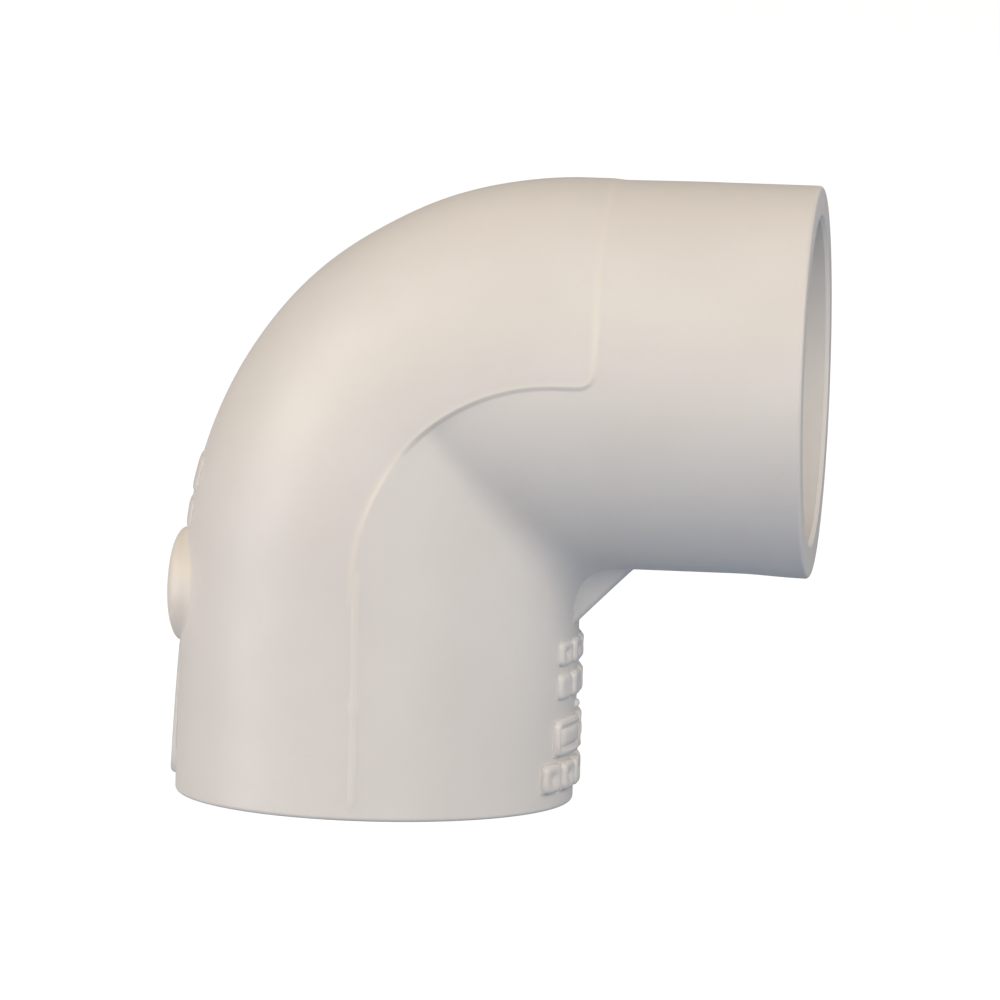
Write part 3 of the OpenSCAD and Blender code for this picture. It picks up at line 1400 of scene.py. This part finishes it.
@dataclass
class RaisedMarks(Piece):
    """Blank raised blocks and a blank plate, laid on the hub and the heel.

    Attributes:
        sizes: the fitting's driving sizes.
        form: the heel's surface.
        cuts: how many cuts each edge of a block gets.
        gap: gap between two blocks of a row.
        sink: how far each block's foot reaches into the wall.
        edge_round: rounding of a block's shoulders.
        dimple: how deep a dimple is and how far it spreads, as shares of the block's sizes.
        crown: the same for the shallow dip of a plain block's top.
        groove: a frame's groove: its depth as a share, how far in it lies and half its width.
        mark_h: how far the marks on the throat side stand out.
        heel_mark_h: how far the marks on the heel stand out.
        plate_h: how far the plate stands out.
        throat_rows: the rows on the throat side.
        dot: the half width, the foot and the head of the small dot between them.
        heel_rows: the rows on the heel.
        plate_drop: how far below the model's the plate's foot lies.
        plate_rise: how far above the model's its head lies, under the pad.
        plate_lean: the share of its thickness at its head, and how much more it has at its foot.
    """

    sizes: FittingSizes
    form: HeelForm
    cuts: int = 19
    gap: float = 0.6 * MM
    sink: float = 0.5 * MM
    edge_round: float = 0.65 * MM
    dimple: tuple[float, float] = (0.7, 0.2)
    crown: tuple[float, float] = (0.1, 0.3)
    groove: tuple[float, float, float] = (0.6, 1.0 * MM, 0.28 * MM)
    mark_h: float = 0.55 * MM
    heel_mark_h: float = 0.24 * MM
    plate_h: float = 0.45 * MM
    throat_rows: tuple[Row, ...] = (
        Row(14.95 * MM, 17.6 * MM, 7.4 * MM, 4, Top.DIMPLED),
        Row(11.45 * MM, 14.25 * MM, 7.4 * MM, 4, Top.PLAIN),
        Row(5.45 * MM, 9.5 * MM, 7.8 * MM, 2, Top.FRAMED),
        Row(1.85 * MM, 4.95 * MM, 10.1 * MM, 5, Top.DIMPLED),
    )
    dot: tuple[float, float, float] = (0.5 * MM, 9.95 * MM, 10.8 * MM)
    heel_rows: tuple[Row, ...] = (
        Row(31.6 * MM, 35.4 * MM, 6.5 * MM, 3),
        Row(27.7 * MM, 30.8 * MM, 6.5 * MM, 3),
    )
    plate_drop: float = 0.35 * MM
    plate_rise: float = 0.6 * MM
    plate_lean: tuple[float, float] = (0.12, 1.15)

    def build(self) -> list[bpy.types.Object]:
        """Builds the marks on both sides and the plate.

        Returns:
            The three pieces.
        """
        return [self._throat(), self._heel(), self._plate()]

    def _block(self, block: Block, name: str) -> bpy.types.Object:
        """Makes one block: a box whose top is drawn up with round shoulders and corners.

        Args:
            block: its corners and height.
            name: its name.

        Returns:
            The block, flat, standing along +Z.
        """
        wide, tall = block.high[0] - block.low[0], block.high[1] - block.low[1]
        middle = ((block.low[0] + block.high[0]) / 2, (block.low[1] + block.high[1]) / 2)
        piece = Bench.cut_cube(name, self.cuts)

        def draw_up(box: np.ndarray) -> np.ndarray:
            """Crowds the box's points towards its edges, and lifts its top to the block's shape.

            Args:
                box: the cut cube's vertices.

            Returns:
                Their new places.
            """
            u = np.sin(box[:, 0] * math.pi) * wide / 2
            v = np.sin(box[:, 1] * math.pi) * tall / 2
            inside = self._from_side(u, v, wide, tall)
            over = np.clip(1 - inside / self.edge_round, 0.0, 1.0)
            rise = block.height * np.sqrt(1 - over**2) * self._top_share(block.top, u, v, wide, tall)
            rim = np.hypot(u / wide, v / tall) * 2
            pull = 1 - 0.06 * smooth_step(rim - 0.75) * (np.abs(u * v) / (wide * tall / 4))
            level = box[:, 2] + 0.5
            return np.column_stack([
                middle[0] + u * pull,
                middle[1] + v * pull,
                -self.sink + level * (self.sink + rise),
            ])

        Bench.reshape(piece, draw_up)
        return piece

    def _from_side(self, u: np.ndarray, v: np.ndarray, wide: float, tall: float) -> np.ndarray:
        """Distance in from the sides of a block with round corners.

        Args:
            u: places across, from the block's middle.
            v: places up, from its middle.
            wide: its width.
            tall: its height.

        Returns:
            The distances, 0 on the sides and beyond.
        """
        corner = 0.3 * min(wide, tall)
        out_u = np.abs(u) - (wide / 2 - corner)
        out_v = np.abs(v) - (tall / 2 - corner)
        away = np.hypot(np.maximum(out_u, 0.0), np.maximum(out_v, 0.0))
        near = np.minimum(np.maximum(out_u, out_v), 0.0)
        return np.maximum(corner - away - near, 0.0)

    def _top_share(
        self, top: Top, u: np.ndarray, v: np.ndarray, wide: float, tall: float
    ) -> np.ndarray:
        """Shapes a block's top.

        Args:
            top: the kind of top.
            u: places across, from the block's middle.
            v: places up, from its middle.
            wide: its width.
            tall: its height.

        Returns:
            The share of its height that it has at each place.
        """
        if top is Top.FRAMED:
            depth, inset, spread = self.groove
            return 1 - depth * bell(self._from_side(u, v, wide, tall), inset, spread)
        depth, spread = self.dimple if top is Top.DIMPLED else self.crown
        return 1 - depth * np.exp(-((u / (spread * wide)) ** 2) - (v / (spread * tall)) ** 2)

    def _row(self, row: Row, height: float) -> list[Block]:
        """Shares a row's width out among equal blocks.

        Args:
            row: the row.
            height: how far the blocks stand out.

        Returns:
            The blocks.
        """
        pitch = (2 * row.half + self.gap) / row.count
        starts = [-row.half + number * pitch for number in range(row.count)]
        return [
            Block((at, row.foot), (at + pitch - self.gap, row.head), height, row.top) for at in starts
        ]

    def _lay(
        self, blocks: list[Block], name: str, rule: Callable[[np.ndarray], np.ndarray]
    ) -> bpy.types.Object:
        """Makes blocks, joins them and lays them on the moulding.

        Args:
            blocks: the blocks.
            name: the piece's name, and the CAD node's.
            rule: bends flat work to the surface.

        Returns:
            The finished piece.
        """
        marks = Bench.join([self._block(block, "block") for block in blocks], name)
        Bench.reshape(marks, rule)
        Bench.close_up(marks, 40.0)
        return self.dress(marks, [MARK_SKIN], [name])

    def _throat(self) -> bpy.types.Object:
        """Lays the rows on the throat side of the bottom hub.

        Returns:
            The finished marks.
        """
        blocks = [block for row in self.throat_rows for block in self._row(row, self.mark_h)]
        half, foot, head = self.dot
        dot = Block((-half, foot), (half, head), self.mark_h * 0.8)
        return self._lay([*blocks, dot], "throat_marks", self._round_hub)

    def _plate(self) -> bpy.types.Object:
        """Lays the blank plate under the gate pad.

        Returns:
            The finished plate.
        """
        low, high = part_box("heel_plate")
        foot, head = low.z - self.plate_drop, high.z + self.plate_rise
        thin, more = self.plate_lean

        def lean(flat: np.ndarray) -> np.ndarray:
            """Makes the plate thicker towards its foot, then lays it on the heel side.

            Args:
                flat: the plate's vertices, lying flat.

            Returns:
                Their new places.
            """
            share = thin + more * np.clip((head - flat[:, 1]) / (head - foot), 0.0, 1.0)
            leaned = flat.copy()
            leaned[:, 2] = np.where(flat[:, 2] > 0.0, flat[:, 2] * share, flat[:, 2])
            return self._round_heel(leaned)

        return self._lay([Block((low.y, foot), (high.y, head), self.plate_h)], "heel_plate", lean)

    def _heel(self) -> bpy.types.Object:
        """Lays the two rows on the heel, above the gate pad.

        Returns:
            The finished marks.
        """
        blocks = [block for row in self.heel_rows for block in self._row(row, self.heel_mark_h)]
        return self._lay(blocks, "heel_marks", self._round_heel)

    def _round_hub(self, flat: np.ndarray) -> np.ndarray:
        """Bends flat work round the throat side of the bottom hub.

        Args:
            flat: rows of across, up and out.

        Returns:
            Rows of x, y and z.
        """
        radius = self.sizes.bottom_r + flat[:, 2]
        angle = flat[:, 0] / self.sizes.bottom_r
        return np.column_stack([radius * np.cos(angle), radius * np.sin(angle), flat[:, 1]])

    def _round_heel(self, flat: np.ndarray) -> np.ndarray:
        """Bends flat work round the heel's double curve.

        Args:
            flat: rows of across, height above the floor, and out.

        Returns:
            Rows of x, y and z.
        """
        return self.form.place(flat[:, 0], flat[:, 1], flat[:, 2])


@dataclass
class PartingRidge(Piece):
    """The fine ridge down the front and the back of the bottom hub, with a spot of flash on it.

    Attributes:
        sizes: the fitting's driving sizes.
        sink: how far its foot reaches into the wall.
        spot_z: height of the spot of flash.
        spot_spread: how far up and down the spot reaches.
        past_top: how far above the foot of the bend the ridge ends.
        wide_share: its mean width, as a share of the model's.
        crest_share: its mean height, as a share of the model's.
        strips: how many strips it is cut into along its length and across.
    """

    sizes: FittingSizes
    sink: float = 0.25 * MM
    spot_z: float = 11.6 * MM
    spot_spread: float = 0.7 * MM
    past_top: float = 0.8 * MM
    wide_share: float = 1.7
    crest_share: float = 0.6
    strips: tuple[int, int] = (120, 6)

    def build(self) -> bpy.types.Object:
        """Draws the ridge out of a thin bar on each side.

        Returns:
            The finished ridge.
        """
        low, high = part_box("parting_ridge")
        width, height = high.x - low.x, high.y - self.sizes.bottom_r
        top = self.sizes.centre_to_end - self.sizes.bend_r + self.past_top
        bars = [self._bar(side, width, height, low.z, top) for side in (-1.0, 1.0)]
        ridge = Bench.join(bars, "parting_ridge")
        Bench.close_up(ridge, 60.0, gap=2.5 * MERGE_GAP)
        # The ridge's finish is partly thin flash's colour and partly a painted highlight
        return self.dress(ridge, [FLASH_TINT_AND_HIGHLIGHT_SKIN], ["parting_ridge"])

    def _bar(self, side: float, width: float, height: float, foot: float, top: float) -> bpy.types.Object:
        """Makes the ridge on one side.

        Args:
            side: -1 for the front, 1 for the back.
            width: the model's width.
            height: the model's height above the hub.
            foot: where it starts, up from the mouth.
            top: where it ends.

        Returns:
            The bar.
        """
        Bench.clear()
        bpy.ops.mesh.primitive_cube_add(size=1.0)
        bar = Bench.added("bar")
        bpy.ops.object.mode_set(mode="EDIT")
        axes = (Vector((0.0, 0.0, 1.0)), Vector((1.0, 0.0, 0.0)))
        for axis, strips in zip(axes, self.strips):
            for number in range(1, strips):
                bpy.ops.mesh.select_all(action="SELECT")
                bpy.ops.mesh.bisect(plane_co=axis * (number / strips - 0.5), plane_no=axis)
        bpy.ops.object.mode_set(mode="OBJECT")
        hub = self.sizes.bottom_r

        def draw_out(block: np.ndarray) -> np.ndarray:
            """Gives the bar its uneven crest, its taper and its spot.

            Args:
                block: the cut cube's vertices.

            Returns:
                Their new places.
            """
            z = foot + (block[:, 2] + 0.5) * (top - foot)
            wander = 0.05 * np.sin(z / (3.1 * MM)) + 0.03 * np.sin(z / (1.3 * MM) + side)
            spot = bell(z, self.spot_z, self.spot_spread) if side < 0 else 0.0
            wide = width * (self.wide_share + 2 * wander + 0.9 * spot)
            fade = smooth_step((top - z) / (2 * MM)) * smooth_step((z - foot) / (1 * MM) + 0.1)
            crest = height * (self.crest_share + 2 * wander + 0.35 * spot) * fade
            across = block[:, 0] * 2
            rise = np.where(block[:, 1] > 0.0, crest * (1 - across**2) ** 2, -self.sink)
            x = across * wide / 2 + 0.03 * MM * np.sin(z / (4.3 * MM))
            y = np.sqrt(np.maximum(hub**2 - x**2, 0.0)) + rise
            return np.column_stack([x, side * y, z])

        Bench.reshape(bar, draw_out)
        return bar


# ---------------------------------------------------------------------------------------------
# Studio
# ---------------------------------------------------------------------------------------------


@dataclass(frozen=True)
class Lamp:
    """A square softbox that points at the fitting.

    Attributes:
        name: the lamp's name.
        azimuth: where it stands, in degrees to the right of the front.
        elevation: degrees above the floor.
        distance: how far it is from the fitting.
        size: the length of its side.
        power: its power in watts.
        colour: its colour.
    """

    name: str
    azimuth: float
    elevation: float
    distance: float
    size: float
    power: float
    colour: Colour

    def build(self, target: Vector) -> bpy.types.Object:
        """Sets the lamp up.

        Args:
            target: the point that it faces.

        Returns:
            The lamp.
        """
        back = towards(self.azimuth, self.elevation)
        light = bpy.data.lights.new(self.name, "AREA")
        light.size = self.size
        light.energy = self.power
        light.color = self.colour
        lamp = bpy.data.objects.new(self.name, light)
        bpy.context.scene.collection.objects.link(lamp)
        lamp.location = target + back * self.distance
        lamp.rotation_mode = "QUATERNION"
        lamp.rotation_quaternion = back.to_track_quat("Z", "Y")
        return lamp


@dataclass
class Studio:
    """Pale floor, soft light and the camera.

    Attributes:
        sizes: the fitting's driving sizes.
        azimuth: where the camera stands, in degrees to the right of the front.
        elevation: degrees above the horizon.
        roll: how far the camera leans, in degrees.
        distance: from the camera to the middle of the fitting.
        lens: focal length, in millimetres.
        aim_right: how far right of the fitting's middle the camera aims.
        aim_up: how far above it the camera aims.
        middle: how far the fitting's middle lies from the crossing of its axes, right and down.
        ambient: soft light from all round: for two axes, the colour from its low and high ends.
        backdrop: how bright the white behind the fitting is.
        floor_grey: the floor's own grey.
        floor_glow: how much it shines by itself, so that it looks as pale as the backdrop.
        lamps: the softboxes.
    """

    sizes: FittingSizes
    azimuth: float = 6.078
    elevation: float = 6.588
    roll: float = 1.507
    distance: float = 1.0
    lens: float = 345.6
    aim_right: float = 0.31 * MM
    aim_up: float = -1.67 * MM
    middle: float = 12.0 * MM
    ambient: tuple[tuple[str, Colour, Colour], ...] = (
        ("Z", (0.05, 0.088, 0.14), (0.22, 0.16, 0.093)),
        ("X", (0.235, 0.222, 0.212), (0.03, 0.072, 0.125)),
    )
    backdrop: float = 1.05
    floor_grey: float = 0.30
    floor_glow: float = 0.9
    lamps: list[Lamp] = field(
        default_factory=lambda: [
            Lamp("left_softbox", -70.0, 0.0, 0.9, 0.55, 2.16, (0.90, 0.90, 1.0)),
            Lamp("left_key", -70.0, 30.0, 0.9, 0.55, 2.34, (1.0, 0.90, 0.71)),
            Lamp("front_fill", 20.0, 0.0, 0.9, 0.55, 1.74, (1.0, 0.955, 0.945)),
            Lamp("right_softbox", 50.0, 30.0, 0.9, 0.55, 3.57, (1.0, 0.93, 0.835)),
            Lamp("rear_fill", 160.0, 25.0, 1.1, 0.7, 0.5, (1.0, 0.96, 0.92)),
        ]
    )

    def build(self) -> None:
        """Sets up the floor, the surroundings, the lamps and the camera."""
        target = Vector((self.middle, 0.0, self.sizes.centre_to_end - self.middle))
        self._floor()
        self._surroundings()
        for lamp in self.lamps:
            lamp.build(target)
        self._camera(target)
        bpy.context.scene.view_settings.view_transform = "Standard"

    def _floor(self) -> None:
        """Lays a wide pale floor under the fitting."""
        Bench.clear()
        bpy.ops.mesh.primitive_plane_add(size=12.0, location=(0.0, 0.0, 0.0))
        floor = Bench.added("floor")
        paint = bpy.data.materials.new("floor_paint")
        paint.use_nodes = True
        shader = paint.node_tree.nodes["Principled BSDF"]
        shader.inputs["Base Color"].default_value = (self.floor_grey, self.floor_grey, self.floor_grey, 1.0)
        shader.inputs["Roughness"].default_value = 0.9
        shader.inputs["Specular IOR Level"].default_value = 0.1
        shader.inputs["Emission Color"].default_value = (1.0, 1.0, 1.0, 1.0)
        shader.inputs["Emission Strength"].default_value = self.floor_glow
        floor.data.materials.append(paint)
        floor.visible_diffuse = False
        floor.visible_glossy = False
        floor.visible_shadow = False

    def _surroundings(self) -> None:
        """Makes the backdrop white, and the light from all round soft, warm above and cool below."""
        world = bpy.data.worlds.new("studio")
        bpy.context.scene.world = world
        world.use_nodes = True
        tree = world.node_tree
        tree.nodes.clear()
        place = tree.nodes.new("ShaderNodeTexCoord")
        parts = tree.nodes.new("ShaderNodeSeparateXYZ")
        tree.links.new(place.outputs["Generated"], parts.inputs["Vector"])
        total = tree.nodes.new("ShaderNodeAddShader")
        for number, (axis, low, high) in enumerate(self.ambient):
            remap = tree.nodes.new("ShaderNodeMapRange")
            remap.inputs["From Min"].default_value = -1.0
            tree.links.new(parts.outputs[axis], remap.inputs["Value"])
            mix = tree.nodes.new("ShaderNodeMix")
            mix.data_type = "RGBA"
            tree.links.new(remap.outputs["Result"], mix.inputs["Factor"])
            mix.inputs["A"].default_value = (*low, 1.0)
            mix.inputs["B"].default_value = (*high, 1.0)
            glow = tree.nodes.new("ShaderNodeBackground")
            tree.links.new(mix.outputs["Result"], glow.inputs["Color"])
            tree.links.new(glow.outputs["Background"], total.inputs[number])
        backdrop = tree.nodes.new("ShaderNodeBackground")
        backdrop.inputs["Color"].default_value = (1.0, 1.0, 1.0, 1.0)
        backdrop.inputs["Strength"].default_value = self.backdrop
        path = tree.nodes.new("ShaderNodeLightPath")
        mix = tree.nodes.new("ShaderNodeMixShader")
        tree.links.new(path.outputs["Is Camera Ray"], mix.inputs["Fac"])
        tree.links.new(total.outputs["Shader"], mix.inputs[1])
        tree.links.new(backdrop.outputs["Background"], mix.inputs[2])
        output = tree.nodes.new("ShaderNodeOutputWorld")
        tree.links.new(mix.outputs["Shader"], output.inputs["Surface"])

    def _camera(self, target: Vector) -> None:
        """Stands the camera where it sees the fitting as a catalogue shows it.

        Args:
            target: the middle of the fitting.
        """
        azimuth, roll = math.radians(self.azimuth), math.radians(self.roll)
        back = towards(self.azimuth, self.elevation)
        level_right = Vector((math.cos(azimuth), math.sin(azimuth), 0.0))
        level_up = back.cross(level_right)
        right = level_right * math.cos(roll) + level_up * math.sin(roll)
        up = level_up * math.cos(roll) - level_right * math.sin(roll)
        data = bpy.data.cameras.new("camera")
        data.lens = self.lens
        data.sensor_width = 36.0
        data.clip_start, data.clip_end = 0.05, 20.0
        camera = bpy.data.objects.new("camera", data)
        bpy.context.scene.collection.objects.link(camera)
        place = target + right * self.aim_right + up * self.aim_up + back * self.distance
        axes = Matrix((right, up, back)).transposed()
        camera.matrix_world = Matrix.Translation(place) @ axes.to_4x4()
        bpy.context.scene.camera = camera


def main() -> None:
    """Builds the fitting's pieces in order, then the studio round them."""
    logging.basicConfig(level=logging.INFO, format="%(message)s")
    sizes = FittingSizes.from_frame()
    form = HeelForm(sizes)
    wall = MouldedWall(sizes, form)
    wall.build()
    ThroatWeb(sizes, wall).build()
    GatePad(sizes, form).build()
    RaisedMarks(sizes, form).build()
    PartingRidge(sizes).build()
    Studio(sizes).build()


if __name__ == "__main__":
    main()
